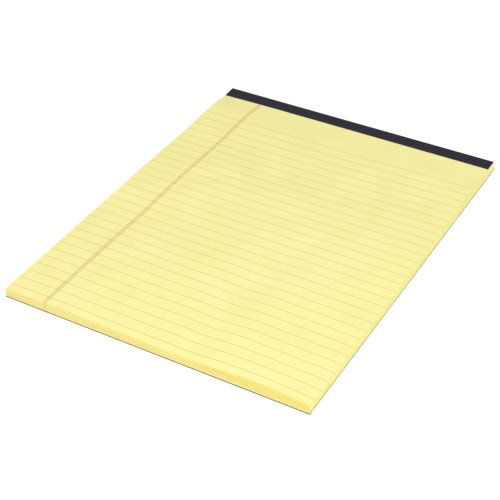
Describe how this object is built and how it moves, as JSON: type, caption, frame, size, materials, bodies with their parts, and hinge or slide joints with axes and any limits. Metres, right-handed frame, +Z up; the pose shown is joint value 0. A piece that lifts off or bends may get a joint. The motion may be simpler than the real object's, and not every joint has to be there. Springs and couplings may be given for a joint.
{
  "type": "legal pad",
  "caption": "Ruled writing pad: a thin block of yellow sheets on a chipboard back, bound along its head by a folded strip of dark tape.",
  "frame": {"origin": "centre of the footprint, on the surface that the pad lies on", "axes": "+Y towards the bound head, +X to the right of the writing face, +Z up out of the writing face"},
  "size_m": [0.2168, 0.2934, 0.0063],
  "materials": {
    "ruled_paper": "uncoated pale yellow writing paper, matt, ruled across with a double margin line at the left",
    "chipboard": "raw grey-brown chipboard, matt, with flecks",
    "binding_tape": "near-black cloth-grain paper tape, low sheen",
    "stitching_wire": "bright zinc-plated flat wire"
  },
  "bodies": {
    "root": {"page_block": "ruled_paper", "backing_board": "chipboard", "binding_tape": "binding_tape", "wire_stitch_1": "stitching_wire", "wire_stitch_2": "stitching_wire", "wire_stitch_3": "stitching_wire", "wire_stitch_4": "stitching_wire"}
  },
  "joints": []
}
